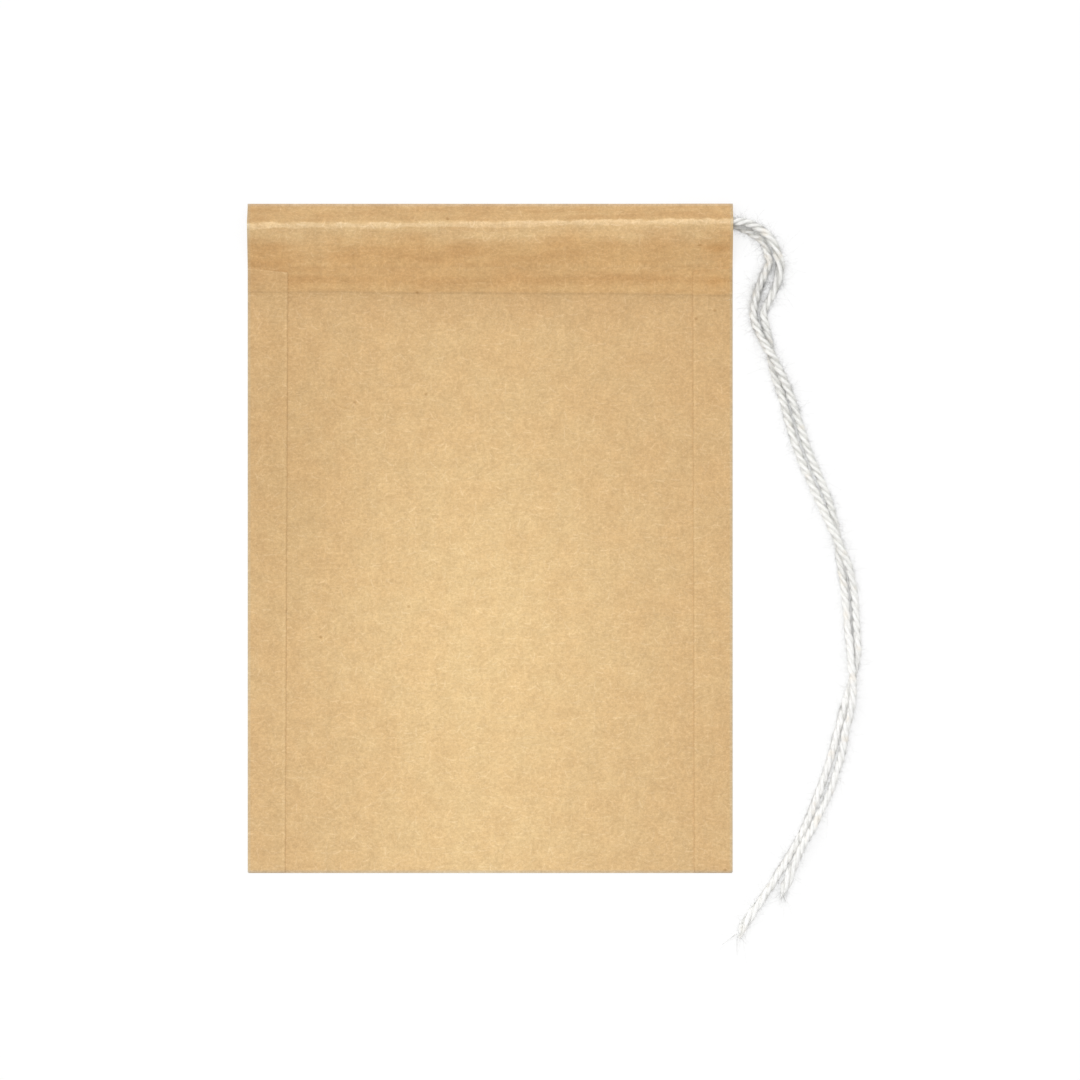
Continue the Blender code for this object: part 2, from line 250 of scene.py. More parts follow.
back_strand = np.array([
    (1.0, 3.2, 0.06), (3.1, 4.3, 0.0), (4.0, 5.1, 0.0), (4.8, 7.2, 0.0), (4.8, 8.3, 0.0),
    (4.2, 9.6, 0.0), (3.2, 12.3, 0.0), (2.8, 15.3, 0.14), (3.8, 18.0, 0.85), (5.1, 20.2, 1.13),
    (6.3, 22.4, 0.90), (7.6, 25.3, 0.18), (8.4, 27.7, 0.0), (9.4, 31.0, 0.0), (10.6, 34.4, 0.0),
    (11.8, 37.1, 0.0), (12.8, 39.6, 0.0), (13.5, 42.0, 0.0), (13.9, 44.0, 0.0), (14.2, 46.2, 0.0),
    (14.5, 48.6, 0.0), (14.9, 51.2, 0.0), (15.2, 54.0, 0.0), (15.4, 56.8, 0.08), (15.6, 59.0, 0.42),
    (15.7, 60.7, 0.80), (15.9, 62.3, 1.07), (16.1, 65.3, 1.07), (16.0, 66.8, 0.88), (15.7, 68.6, 0.62),
    (15.2, 70.4, 0.42), (14.6, 73.8, 0.0), (13.9, 76.2, 0.0), (13.0, 78.8, 0.0), (11.9, 81.2, 0.16),
    (10.4, 84.1, 0.90), (9.0, 86.7, 0.84), (7.9, 89.3, 0.10), (7.3, 90.7, 0.0), (6.5, 92.9, 0.0),
])


def beside_bag(chosen):
    """Points chosen beside the bag, in metres in the bag's frame."""
    corner = np.array([half_width, half_height, string_width / 2 + table_clearance])
    return corner + chosen * (0.001, -0.001, string_width)


def smooth_route(points, steps=40):
    """A Catmull-Rom curve from the second point to the last: each span is a cubic through four points."""
    points = np.vstack([points, 2 * points[-1] - points[-2]])
    a, b, c, d = points[:-3], points[1:-2], points[2:-1], points[3:]
    t = (np.arange(steps) / steps)[None, :, None]
    a, b, c, d = (p[:, None] for p in (a, b, c, d))
    spans = (2 * b + (c - a) * t + (2 * a - 5 * b + 4 * c - d) * t**2 + (3 * b - a - 3 * c + d) * t**3) / 2
    return np.vstack([spans.reshape(-1, 3), points[-2]])


def even_route(points, spacing):
    """The same route with its points evenly spaced, and each point's distance from the first."""
    travelled = np.concatenate([[0], np.cumsum(np.linalg.norm(np.diff(points, axis=0), axis=1))])
    wanted = np.linspace(0, travelled[-1], round(travelled[-1] / spacing) + 1)
    return np.stack([np.interp(wanted, travelled, points[:, k]) for k in range(3)], -1), wanted


def wander(places, spacing, seed):
    """A smooth random walk between -1 and 1: random values this far apart, joined by S curves."""
    knots = np.random.default_rng(seed).uniform(-1, 1, int(places.max() / spacing) + 3)
    cell = (places / spacing).astype(int)
    share = s_curve(places / spacing - cell)
    return knots[cell] * (1 - share) + knots[cell + 1] * share


turn_gauge = np.array([-half_width + string_width])
turn_radius = np.linalg.norm(front_string_at(turn_gauge) - back_string_at(turn_gauge)) / 2
turn_room = 0.0003           # between the string's turn and the bag's left edge
turn_x = -half_width + turn_room + string_width / 2 + turn_radius

hem_x = np.linspace(half_width, turn_x, 400)
front_hem, back_hem = front_string_at(hem_x), back_string_at(hem_x[::-1])
turn_middle = (front_hem[-1] + back_hem[0]) / 2
turn_angle = np.linspace(0, np.pi, 26)[1:-1, None]
turn = (turn_middle + (front_hem[-1] - turn_middle) * np.cos(turn_angle)
        - turn_radius * np.sin(turn_angle) * (1, 0, 0))
front_free = smooth_route(np.vstack([front_hem[[6, 0]], beside_bag(front_strand)]))
back_free = smooth_route(np.vstack([back_hem[[-7, -1]], beside_bag(back_strand)]))
ring_spacing = 0.00016
string_line, along_string = even_route(
    np.vstack([front_free[:0:-1], front_hem, turn, back_hem, back_free[1:]]), ring_spacing)
leaves = np.flatnonzero(np.diff(string_line[:, 0] > half_width))
front_exit, back_exit = leaves[0] + 1, leaves[-1]
string_length = along_string[-1]

# Frame of each ring: along the string, up, and to the side
string_along = np.gradient(string_line, axis=0)
string_along /= np.linalg.norm(string_along, axis=1, keepdims=True)
string_side = np.cross(string_along, (0, 0, 1))
string_side /= np.linalg.norm(string_side, axis=1, keepdims=True)
string_up = np.cross(string_side, string_along)


def swell(places, centre, width):
    """1 at the centre, falling off to both sides as a bell curve this wide."""
    return np.exp(-((places - centre) / width) ** 2)


# The twist: one turn in 4.3 mm, a little uneven, and opened up where the front strand has been handled.
# The back strand has a matted patch. The lower half is softer: its plies press closer together.
twist_length = 0.0043
tip_length = 0.0018
to_end = np.minimum(along_string, string_length - along_string)
handled = swell(along_string[front_exit] - along_string, 0.0105, 0.0035)
matted = swell(along_string - along_string[back_exit], 0.0120, 0.0032)
loosened = swell(to_end, 0.0026, 0.0020)
uneven = 1 + 0.16 * wander(along_string, 0.006, seed=3)
turns = uneven * (1 - 0.55 * handled - 0.5 * loosened) / twist_length
twist = -2 * np.pi * np.concatenate([[0], np.cumsum((turns[1:] + turns[:-1]) / 2 * np.diff(along_string))])
tip = 1 - s_curve(to_end / tip_length)
softer = s_curve(-string_line[:, 1] / 0.022)
slender = 1 - 0.04 * softer
ply_offset = 0.00025         # from the string's centre to a ply's
ply_radius = 0.00030
ply_ring = 10
ply_around = np.arange(ply_ring) / ply_ring * 2 * np.pi


def ply(number):
    """A ply's rings: circles whose centres wind round the string's line, and close up at its two tips.

    Each ring starts at its inner side, where the plies meet."""
    angle = twist + number * 2 * np.pi / 3 + 0.22 * wander(along_string, 0.0019, 10 + number)
    out = 1 + 0.22 * wander(along_string, 0.0023, 20 + number) + 0.3 * handled + 0.7 * loosened - 0.8 * tip
    out = ply_offset * slender * (out - 0.12 * softer)
    radius = 1 + 0.16 * wander(along_string, 0.0014, 30 + number) + 0.15 * loosened - 0.8 * tip
    radius = ply_radius * slender * (radius + 0.08 * softer)
    outwards = np.cos(angle)[:, None] * string_up + np.sin(angle)[:, None] * string_side
    centre = string_line + out[:, None] * outwards
    centre[:, 2] = np.maximum(centre[:, 2], radius + table_clearance / 2)
    around = (angle[:, None] + np.pi + ply_around)[..., None]
    return centre[:, None] + radius[:, None, None] * (np.cos(around) * string_up[:, None]
                                                      + np.sin(around) * string_side[:, None])


plies = np.stack([ply(number) for number in range(3)])


def tube_mesh(name, points, lengths):
    """Closed tubes from points[tube, ring, side]: a quad between each four neighbours, and flat ends.

    The UV map holds the share of the way round, and metres along."""
    tubes, rings, sides = points.shape[:3]
    index = np.arange(tubes * rings * sides).reshape(tubes, rings, sides)
    after = np.roll(index, -1, axis=2)
    quads = np.stack([index[:, :-1], after[:, :-1], after[:, 1:], index[:, 1:]], -1)
    ends = np.concatenate([index[:, 0, ::-1], index[:, -1]])
    mesh = bpy.data.meshes.new(name)
    mesh.from_pydata(points.reshape(-1, 3).tolist(), [], quads.reshape(-1, 4).tolist() + ends.tolist())
    u = np.broadcast_to(np.arange(sides)[None, None, :, None] + [0, 1, 1, 0], quads.shape) / sides
    v = np.broadcast_to(lengths, (tubes, rings))
    v = np.stack([v[:, :-1], v[:, :-1], v[:, 1:], v[:, 1:]], -1)[:, :, None, :] + np.zeros(quads.shape)
    corners = np.concatenate([np.stack([u, v], -1).reshape(-1, 2), np.zeros((ends.size, 2))])
    mesh.uv_layers.new(name="fibre").data.foreach_set("uv", corners.ravel())
    mesh.polygons.foreach_set("use_smooth", np.arange(len(mesh.polygons)) < quads.size // 4)
    piece = bpy.data.objects.new(name, mesh)
    scene.collection.objects.link(piece)
    return piece


def painted_end_light_at(place):
    """Painted light that pales the string towards its ends: 0 above 5 mm over the bag's middle, 1 below 18 mm
    under it.
    """
    return (0 - place.node("SeparateXYZ", inputs={0: place}).also("Y")).ramp(-0.005, 0.018)


# Painted light and shade: a painted highlight along the outside of each ply, painted shade in the grooves,
# and painted light that pales the string and weakens that shade towards its ends. The fibre noise is drawn
# out along the plies, and slants across them.
cotton, cotton_shader, start = new_material("cotton_string", Roughness=0.8, Specular_IOR_Level=0.3,
                                            Sheen_Weight=0.4, Sheen_Roughness=0.4)
fibre_place = start.node("UVMap", {"uv_map": "fibre"})
round_ply = fibre_place.node("SeparateXYZ", inputs={0: fibre_place})
outside = 1 - abs(round_ply - 0.5) * 2
place = start.node("TexCoord", output="Object")
painted_end_light = painted_end_light_at(place)
slanted = {"Vector": fibre_place, "Scale": (16, 900, 1), "Rotation": (0, 0, 0.35)}
stretched = start.node("Mapping", inputs=slanted)
cotton_fibres = start.node("TexNoise", {"noise_dimensions": "2D"},
                           {"Vector": stretched, "Detail": 3.0, "Scale": 1.0})
warmth = start.node("TexNoise", inputs={"Vector": place, "Scale": 420.0, "Detail": 2.0}).ramp(0.57, 0.72)
# Painted light: paler towards the string's ends
cotton_colour = painted_end_light.mix((0.96, 0.955, 0.935, 1), (0.98, 0.977, 0.965, 1))
cotton_colour = cotton_colour.tinted(warmth, (0.97, 0.935, 0.89, 1))
groove_shade_share = 1 - painted_end_light * 0.5
# Painted shade on the plies' flanks and in the grooves, which leaves a painted highlight along each ply's top
cotton_colour = cotton_colour.tinted((1 - outside.ramp(0.6, 1.0)) * groove_shade_share, (0.94, 0.94, 0.93, 1))
cotton_colour = cotton_colour.tinted((1 - outside.ramp(0.3, 0.65)) * groove_shade_share, (0.86, 0.86, 0.85, 1))
cotton_colour = cotton_colour.tinted(1 - cotton_fibres.ramp(0.36, 0.52), (0.90, 0.895, 0.88, 1))
fibre_relief = start.node("Bump", inputs={"Strength": 0.7, "Distance": 0.00003, "Height": cotton_fibres})
cotton.node_tree.links.new(cotton_colour.socket, cotton_shader.inputs["Base Color"])
cotton.node_tree.links.new(fibre_relief.socket, cotton_shader.inputs["Normal"])

for name, first, last in (("string_front_strand", 0, front_exit), ("string_in_hem", front_exit, back_exit),
                          ("string_back_strand", back_exit, len(string_line) - 1)):
    piece = tube_mesh(name, plies[:, first:last + 1], along_string[first:last + 1])
    piece.data.materials.append(cotton)
    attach(piece, "root")
    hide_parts("drawstring")


# Fuzz. Loose cotton fibres: a nap that lies on the plies, fuzz that stands off the string all along it, and
# the frayed fibres at its two cut ends. They are the string's own cotton, so each strand's fibres go with it.
def loose_cotton(name, near_bag, near_ends):
    """A fibre material, patchy between two greys near the bag and two others near the ends, paled there by
    the painted end light.
    """
    material, shader, start = new_material(name, Roughness=0.9, Specular_IOR_Level=0.1)
    place = start.node("TexCoord", output="Object")
    patches = place.node("TexNoise", inputs={"Vector": place, "Scale": 700.0}).ramp(0.35, 0.65)
    colour = painted_end_light_at(place).mix(patches.mix(*near_bag), patches.mix(*near_ends))
    material.node_tree.links.new(colour.socket, shader.inputs["Base Color"])
    return material


# Painted shade: the fuzz is the string's white cotton painted grey, as its thin fibres look in their own
# shade
painted_grey_fuzz = loose_cotton("cotton_fuzz", [(0.64, 0.64, 0.63, 1), (0.88, 0.88, 0.86, 1)],
                           [(0.68, 0.68, 0.66, 1), (0.90, 0.90, 0.88, 1)])
nap_cotton = loose_cotton("cotton_nap", [(0.94, 0.935, 0.92, 1), (0.985, 0.98, 0.97, 1)],
                          [(0.97, 0.965, 0.955, 1), (0.99, 0.985, 0.98, 1)])


hair_points = 4
hair_radius = 0.000013
frayed_radius = 0.000012
laid_radius = 0.000016
stray_radius = 0.00004
fuzz_reach = 0.00042         # from the string's centre to the roots of its fuzz
laid_reach = 0.00052         # and to the fibres laid along its flank
shortest_fuzz = 0.00022
further_fuzz = 0.00024       # the mean of what a hair is longer than that
longest_fuzz = 0.0020
frayed_length = 0.0024       # the end's loose fibres have their roots in this last length of string


def bent_lines(roots, directions, bends, lengths):
    """Lines of four points: a line's way along its direction, plus its bend by the square of that way."""
    way = np.linspace(0, 1, hair_points)[None, :, None]
    return roots[:, None] + (directions[:, None] * way + bends[:, None] * way**2) * lengths[:, None, None]


def hair_tubes(line, radius):
    """Thin three-sided tubes along line[hair, point], thinner towards their ends and clear of the table."""
    rings, sides = line.shape[1], 3
    line[..., 2] = np.maximum(line[..., 2], radius * 1.1)
    along = np.gradient(line, axis=1)
    along /= np.linalg.norm(along, axis=2, keepdims=True)
    side = np.cross(along, (0.31, 0.17, 0.94))
    side /= np.maximum(np.linalg.norm(side, axis=2, keepdims=True), 1e-9)
    up = np.cross(side, along)
    angle = (np.arange(sides) / sides * 2 * np.pi)[None, None, :, None]
    taper = (1 - 0.6 * np.linspace(0, 1, rings))[None, :, None, None] * radius
    return line[:, :, None] + taper * (np.cos(angle) * up[:, :, None] + np.sin(angle) * side[:, :, None])


def nap_of(first, last, count, seed):
    """Fibres along the plies' outer sides, which lift off towards their ends by the square of the way."""
    random = np.random.default_rng(seed)
    way = np.linspace(0, 1, hair_points)
    number = random.integers(0, 3, (count, 1))
    stride = random.integers(1, 4, (count, 1)) * random.choice([-1, 1], (count, 1))
    ring = random.integers(first + 10, last - 10, (count, 1)) + stride * np.arange(hair_points)
    middle = plies[number, ring].mean(axis=2)
    surface = plies[number, ring, random.integers(2, ply_ring - 1, (count, 1))]
    lift = 1.02 + random.exponential(0.20, (count, 1)) * way**2
    drift = random.normal(0, 0.00005, (count, 1, 3)) * way[None, :, None]
    return hair_tubes(middle + (surface - middle) * lift[..., None] + drift, hair_radius)


def fuzz_of(first, last, count, seed):
    """Hairs rooted on the flanks of a stretch of string: most are short and curly, and they lean along it.

    They stand closer near the bag, and closest where the string has been handled or is matted."""
    random = np.random.default_rng(seed)
    crowd = 1 + 0.9 * s_curve(string_line[:, 1] / 0.03) + 1.0 * handled + 2.4 * matted - 0.7 * tip
    crowd = crowd[first:last] / crowd[first:last].sum()
    at = first + random.choice(last - first, count, p=crowd)
    flank = random.choice([-np.pi / 2, np.pi / 2], (count, 1)) + random.normal(0, 0.6, (count, 1))
    out = np.cos(flank) * string_up[at] + np.sin(flank) * string_side[at]
    lean = random.normal(0, 1.2, (count, 1))
    directions = out + lean * string_along[at] + random.normal(0, 0.3, (count, 3))
    directions /= np.linalg.norm(directions, axis=1, keepdims=True)
    bends = random.normal(0, 0.8, (count, 3)) - 0.4 * out
    further = further_fuzz * random.exponential(1 + 0.7 * (handled + matted)[at])
    lengths = np.minimum(shortest_fuzz + further, longest_fuzz)
    roots = string_line[at] + out * (fuzz_reach * slender * (1 - 0.6 * tip))[at][:, None]
    return hair_tubes(bent_lines(roots, directions, bends, lengths), hair_radius)


def frayed_end(end, away, count, seed):
    """Fibres of a cut end: they run on along the string and spread a little, some of them far."""
    random = np.random.default_rng(seed)
    spread = random.normal(0, 0.00022, (count, 3))
    roots = string_line[end] + spread - away * random.uniform(0, frayed_length, (count, 1))
    directions = away + random.normal(0, 0.35, (count, 3)) * (1, 1, 0.3)
    directions /= np.linalg.norm(directions, axis=1, keepdims=True)
    lengths = np.minimum(0.0006 + 0.0006 * random.exponential(1, count), 0.0026)
    bends = random.normal(0, 0.4, (count, 3))
    return hair_tubes(bent_lines(roots, directions, bends, lengths), frayed_radius)


def laid_fibres(rings, flank, count, seed):
    """Fibres that lie close along the front strand at these rings, on the flank -1 or 1 of each ring."""
    random = np.random.default_rng(seed)
    at = random.choice(rings, count)
    out = flank[at][:, None] * string_side[at] + random.normal(0, 0.3, (count, 1)) * string_up[at]
    directions = random.choice([-1, 1], (count, 1)) * string_along[at] + 0.1 * out
    roots = string_line[at] + out * (laid_reach * slender[at])[:, None]
    lengths = random.uniform(0.0007, 0.0016, count)
    bends = random.normal(0, 0.08, (count, 3))
    return hair_tubes(bent_lines(roots, directions, bends, lengths), laid_radius)


# Stray fibres on the table, from the string to their ends, with places as in the strands' lists
stray_fibres = beside_bag(np.array([
    [(13.7, 46.9, -0.4), (14.1, 49.8, -0.4)],
    [(8.2, 87.8, -0.4), (8.5, 89.4, -0.4)],
    [(0.3, 98.0, -0.4), (-1.5, 99.4, -0.4)],
    [(0.9, 98.1, -0.4), (1.7, 99.3, -0.4)],
    [(0.6, 98.5, -0.4), (0.5, 100.8, -0.4)],
]))
stray_ways = stray_fibres[:, 1] - stray_fibres[:, 0]
stray_bends = np.full_like(stray_ways, 0.0001)
strays = bent_lines(stray_fibres[:, 0], stray_ways, stray_bends, np.ones(len(stray_ways)))

# Grey fibres of the painted-grey fuzz draw the front strand's outline towards its end, as painted shade along
# its edge. Pale ones fill the groove between the strands where they touch side by side, 47 to 62 mm below the
# mouth, along the flank that faces the other strand.
touch_middle = -0.0095       # Y of the middle of the stretch where the strands touch
touch_half = 0.0075          # half that stretch's height
crossing_width = 0.0008      # where the strands' centres are nearer than this they cross
to_back = string_line[None, back_exit:, :2] - string_line[:front_exit, None, :2]
apart = np.linalg.norm(to_back, axis=2)
nearest = to_back[np.arange(front_exit), apart.argmin(axis=1)]
facing = np.sign((nearest * string_side[:front_exit, :2]).sum(axis=1))
touching = np.abs(string_line[:front_exit, 1] - touch_middle) < touch_half
beside = np.flatnonzero(touching & (apart.min(axis=1) > crossing_width))
outline = laid_fibres(np.arange(10, front_exit // 3), np.full(front_exit, -1), count=200, seed=7)
filling = laid_fibres(beside, facing, count=300, seed=10)

last_ring = len(string_line) - 1
front_fuzz = [fuzz_of(0, front_exit, count=9000, seed=5),
              frayed_end(0, -string_along[0], count=60, seed=15), outline, hair_tubes(strays, stray_radius)]
back_fuzz = [fuzz_of(back_exit, last_ring, count=9500, seed=6),
             frayed_end(-1, string_along[-1], count=130, seed=16)]
front_nap = [nap_of(0, front_exit, count=1000, seed=8), filling]
back_nap = [nap_of(back_exit, last_ring, count=1000, seed=9)]
for name, groups, material in (("string_front_fuzz", front_fuzz, painted_grey_fuzz),
                               ("string_front_nap", front_nap, nap_cotton),
                               ("string_back_fuzz", back_fuzz, painted_grey_fuzz),
                               ("string_back_nap", back_nap, nap_cotton)):
    hairs = np.concatenate(groups)
    fibres = tube_mesh(name, hairs, np.linspace(0, 0.001, hairs.shape[1]))
    fibres.data.materials.append(material)
    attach(fibres, "root")


# Paper bag. One sheet of thin unbleached filter paper, folded once at the bottom. Each top edge is turned in
# as a hem, and the sides of the back are folded over the front as flaps and glued down. The real layers are
# thinner than the CAD model's and lie closer, so the sheet here is thinner too, inside the same outline.
paper_thickness = 0.00006
layer_pitch = 0.00007        # from one pressed layer to the next
layer_z = paper_thickness / 2 + layer_pitch * np.arange(4)      # the four layers of the hem, back to front
channel_depth = 0.0082       # below this depth the hem is glued flat
foot_softness = 0.0002
hem_depth = 0.0118
hem_step = 0.0004            # length over which the front drops from the hem to a single layer
flap_depth = hem_depth - 0.0032      # depth of a flap's top at its outer edge
flap_slant = 0.0006          # a flap's top edge drops this much towards its inner corner
slant_run = 0.0020           # and the slant has faded out this far below the top
wrap_lead = 0.0001           # the flat layers start to narrow this far above the flaps' tops
wrap_run = 0.00008           # and have narrowed after this length
top_fold_room = 0.0006       # the flat rows stop this far from the top fold, and this far from the bottom one
bottom_fold_room = 0.0001
fold_steps = 8


def paper_over(string_depth, string_z, radius, flat_z, depth):
    """Height of a layer: flat_z below the glue line, and above it a tent over a string with a soft foot.

    The soft foot is the mean of the tent's height over the flat, h, and the square root of h squared and
    the softness squared."""
    reach, rise = channel_depth - string_depth, string_z - flat_z
    slope = np.arctan2(rise, reach) + np.arcsin(radius / np.hypot(rise, reach))
    above = tent(string_depth - depth, radius, np.radians(45))
    below = tent(depth - string_depth, radius, slope)
    over_flat = string_z - flat_z + np.where(depth < string_depth, above, below)
    return flat_z + (over_flat + np.hypot(over_flat, foot_softness)) / 2


def hem_edge(x):
    """Depth of the turned-in edge: a line from 11.55 mm at the left to 12 mm at the right, slightly wavy."""
    from_left = x + half_width
    return hem_depth - 0.00025 + 0.00045 * from_left / bag_width + 0.00010 * wander(from_left, 0.006, seed=41)


def back_inner_z(x, depth):
    return paper_over(back_string_depth(x), back_string_z, tent_radius, layer_z[1], depth)


def front_inner_z(x, depth):
    return paper_over(back_string_depth(x), back_string_z, tent_radius + layer_pitch, layer_z[2], depth)


def front_outer_z(x, depth):
    """The higher of the tents over the two strings, then a soft step down from the hem to one layer."""
    back_radius = tent_radius + 2 * layer_pitch
    over_back = paper_over(back_string_depth(x), back_string_z, back_radius, layer_z[3], depth)
    over_front = paper_over(front_string_depth(x), front_string_z(x), tent_radius, layer_z[3], depth)
    drop = s_curve((depth - hem_edge(x)) / hem_step)
    return np.maximum(over_back, over_front) - drop * (layer_z[3] - layer_z[1])


def back_outer_z(x, depth):
    return np.full_like(x, layer_z[0])


def flap_z(side, depth):
    """The flaps lie flat on the front, one layer up."""
    edge = np.full_like(depth, side * half_width)
    return front_outer_z(edge, np.maximum(depth, channel_depth)) + layer_pitch


def side_edge(side, depth):
    """Half the width of the flat layers: the bag's, less the flaps' folds where those wrap round them."""
    fold_radius = (flap_z(side, depth) - layer_z[0]) / 2
    wrapped = s_curve((depth - flap_depth + wrap_lead) / wrap_run)
    return half_width - wrapped * (paper_thickness / 2 + fold_radius)


# Columns as shares of the half width, with one where the string's turn ends; rows as depths below the mouth
turn_share = turn_x / half_width
turn_columns = 3             # the columns beside the string's turn
beside_turn = np.linspace(-1, turn_share, turn_columns + 1)[:-1]
columns = np.concatenate([beside_turn, np.linspace(turn_share, 1, 92)])
channel_rows = np.linspace(top_fold_room, channel_depth, 38)
flap_top_rows = flap_depth + np.array([-0.0004, -0.00012, -0.00002, 0, 0.0003])
hem_share = np.linspace(0, 1, 8)[1:, None]
step_rows = np.linspace(0, hem_step, 6)[1:, None]
panel_share = np.linspace(0, 1, 96)[1:, None]
back_share = np.linspace(0, 1, 40)[1:, None]


def layer(height, depths):
    """One flat layer: a grid of points over the bag, this high at each place."""
    edge = np.where(columns < 0, side_edge(-1, depths), side_edge(1, depths))
    x = columns * edge
    return np.stack([x, half_height - depths, height(x, depths)], -1)


edge_depth = hem_edge(columns * half_width)[None, :]
level_rows = np.concatenate([channel_rows, flap_top_rows])[:, None] + 0 * edge_depth
hem_rows = np.vstack([level_rows, level_rows[-1] + hem_share * (edge_depth - level_rows[-1])])
last_depth = bag_height - bottom_fold_room
panel_top = edge_depth + hem_step
hem_and_step = np.vstack([hem_rows, edge_depth + step_rows])
front_rows = np.vstack([hem_and_step, panel_top + panel_share * (last_depth - panel_top)])
back_rows = np.vstack([hem_and_step, panel_top + back_share * (last_depth - panel_top)])


def fold(first, last, edge_y, side, room):
    """A half-circle fold between two layers' end rows: at the top with side 1, at the bottom with -1."""
    angle = (np.pi * (np.arange(fold_steps + 1) / fold_steps - 0.5))[:, None]
    radius = (last[:, 2] - first[:, 2]) / 2
    bulge = np.minimum(np.abs(radius), room - paper_thickness / 2)
    y = edge_y + side * (bulge * (np.cos(angle) - 1) - paper_thickness / 2)
    z = (first[:, 2] + last[:, 2]) / 2 + radius * np.sin(angle)
    return np.stack([np.broadcast_to(first[:, 0], z.shape), y, z], -1)


front_inner = layer(front_inner_z, hem_rows)[::-1]
front_outer = layer(front_outer_z, front_rows)
back_outer = layer(back_outer_z, back_rows)[::-1]
back_inner = layer(back_inner_z, hem_rows)
stretches = [front_inner, fold(front_inner[-1], front_outer[0], half_height, 1, top_fold_room), front_outer,
             fold(front_outer[-1], back_outer[0], -half_height, -1, bottom_fold_room), back_outer,
             fold(back_outer[-1], back_inner[0], half_height, 1, top_fold_room), back_inner]
sheet = np.vstack(stretches)
starts = np.cumsum([0] + [len(s) for s in stretches])

# UV maps, in metres: place on the flat sheet, then distances below the front ridge and below the hem's edge,
# then the distance in from a flap's free edge. Where a line isn't on a layer, its distance is a large one.
row_steps = np.linalg.norm(np.diff(sheet[:, len(columns) // 2], axis=0), axis=1)
down_sheet = np.concatenate([[0], np.cumsum(row_steps)])
down_sheet -= down_sheet[starts[1] + fold_steps // 2]        # 0 at the mouth, growing down the front
far_off = 0.1
sheet_uv = np.stack(np.broadcast_arrays(sheet[..., 0], down_sheet[:, None]), -1)
sheet_depth = half_height - sheet[..., 1]
line_uv = np.stack([sheet_depth - front_string_depth(sheet[..., 0]), sheet_depth - edge_depth], -1)
line_uv[:starts[1]] = line_uv[starts[6]:] = far_off
line_uv[starts[3]:starts[6], :, 0] = far_off
flap_uv = np.full(sheet_uv.shape, far_off)


def flap_width(side, depth):
    """Width of a flap: 5.4 mm at its top, in a straight line to 5.0 mm on the left or 5.2 on the right."""
    narrowing = 0.00036 if side < 0 else 0.00022
    return 0.0054 - narrowing * (depth - flap_depth) / (bag_height - flap_depth)


def flap(side):
    """A side flap's rows and points: from the back's edge round a half circle, then flat over the front."""
    rows = np.arange(starts[4], starts[5])
    edge = sheet[rows, 0 if side < 0 else -1]
    depths = half_height - edge[:, 1]
    rows, edge, depths = (a[depths >= flap_depth - 1e-6] for a in (rows, edge, depths))
    top_z = flap_z(side, depths)[:, None]
    radius = (top_z - layer_z[0]) / 2
    angle = np.pi * (np.arange(1, fold_steps + 1) / fold_steps - 0.5)[None, :]
    fold_x = half_width - paper_thickness / 2 - radius + radius * np.cos(angle)
    fold_z = layer_z[0] + radius + radius * np.sin(angle)
    inner_x = half_width - flap_width(side, depths)[:, None]
    share = np.linspace(0, 1, 12)[None, 1:]
    flat_x = fold_x[:, -1:] + share * (inner_x - fold_x[:, -1:])
    x = side * np.hstack([fold_x, flat_x])
    z = np.hstack([fold_z, np.broadcast_to(top_z, flat_x.shape)])
    slant = flap_slant * (1 - s_curve((depths - flap_depth) / slant_run))[:, None]
    y = edge[:, 1:2] - slant * (half_width - np.abs(x)) / flap_width(side, depths)[:, None]
    return rows, np.stack([x, y, z], -1)


def grid_quads(index):
    """A quad between each four neighbours in a grid of point numbers."""
    return np.stack([index[:-1, :-1], index[:-1, 1:], index[1:, 1:], index[1:, :-1]], -1)


# The sheet's quads, without those of the inner layers beside the string's turn, then each flap's
index = np.arange(sheet.shape[0] * sheet.shape[1]).reshape(sheet.shape[:2])
cells = grid_quads(index)
kept = np.ones(cells.shape[:2], bool)
inner_first = starts[1] - len(channel_rows)
kept[inner_first:starts[1] - 1, :turn_columns] = False
kept[starts[6]:starts[6] + len(channel_rows) - 1, :turn_columns] = False
quads = [cells[kept]]
points, uvs = [sheet.reshape(-1, 3)], [np.stack([sheet_uv, line_uv, flap_uv], 2).reshape(-1, 3, 2)]
for side in (-1, 1):
    rows, folded = flap(side)
    column = 0 if side < 0 else -1
    from_back = np.concatenate([sheet[rows, column][:, None], folded], 1)
    around = np.linalg.norm(np.diff(from_back, axis=1), axis=2)
    across_sheet = half_width + np.cumsum(around, axis=1)
    from_edge = np.abs(folded[..., 0]) - (half_width - flap_width(side, half_height - folded[..., 1]))
    away = np.full_like(from_edge, far_off)
    below_hem = half_height - folded[..., 1] - edge_depth[0, column]
    down = down_sheet[rows][:, None] + 0 * away
    below_top = down[-1, 0] - down
    maps = [(side * across_sheet, down), (away, below_hem), (from_edge, below_top)]
    uvs.append(np.stack([np.stack(pair, -1) for pair in maps], 2).reshape(-1, 3, 2))
    flap_index = sum(map(len, points)) + np.arange(away.size).reshape(away.shape)
    flap_index = np.hstack([index[rows, column][:, None], flap_index])[:, ::side]
    quads.append(grid_quads(flap_index).reshape(-1, 4))
    points.append(folded.reshape(-1, 3))

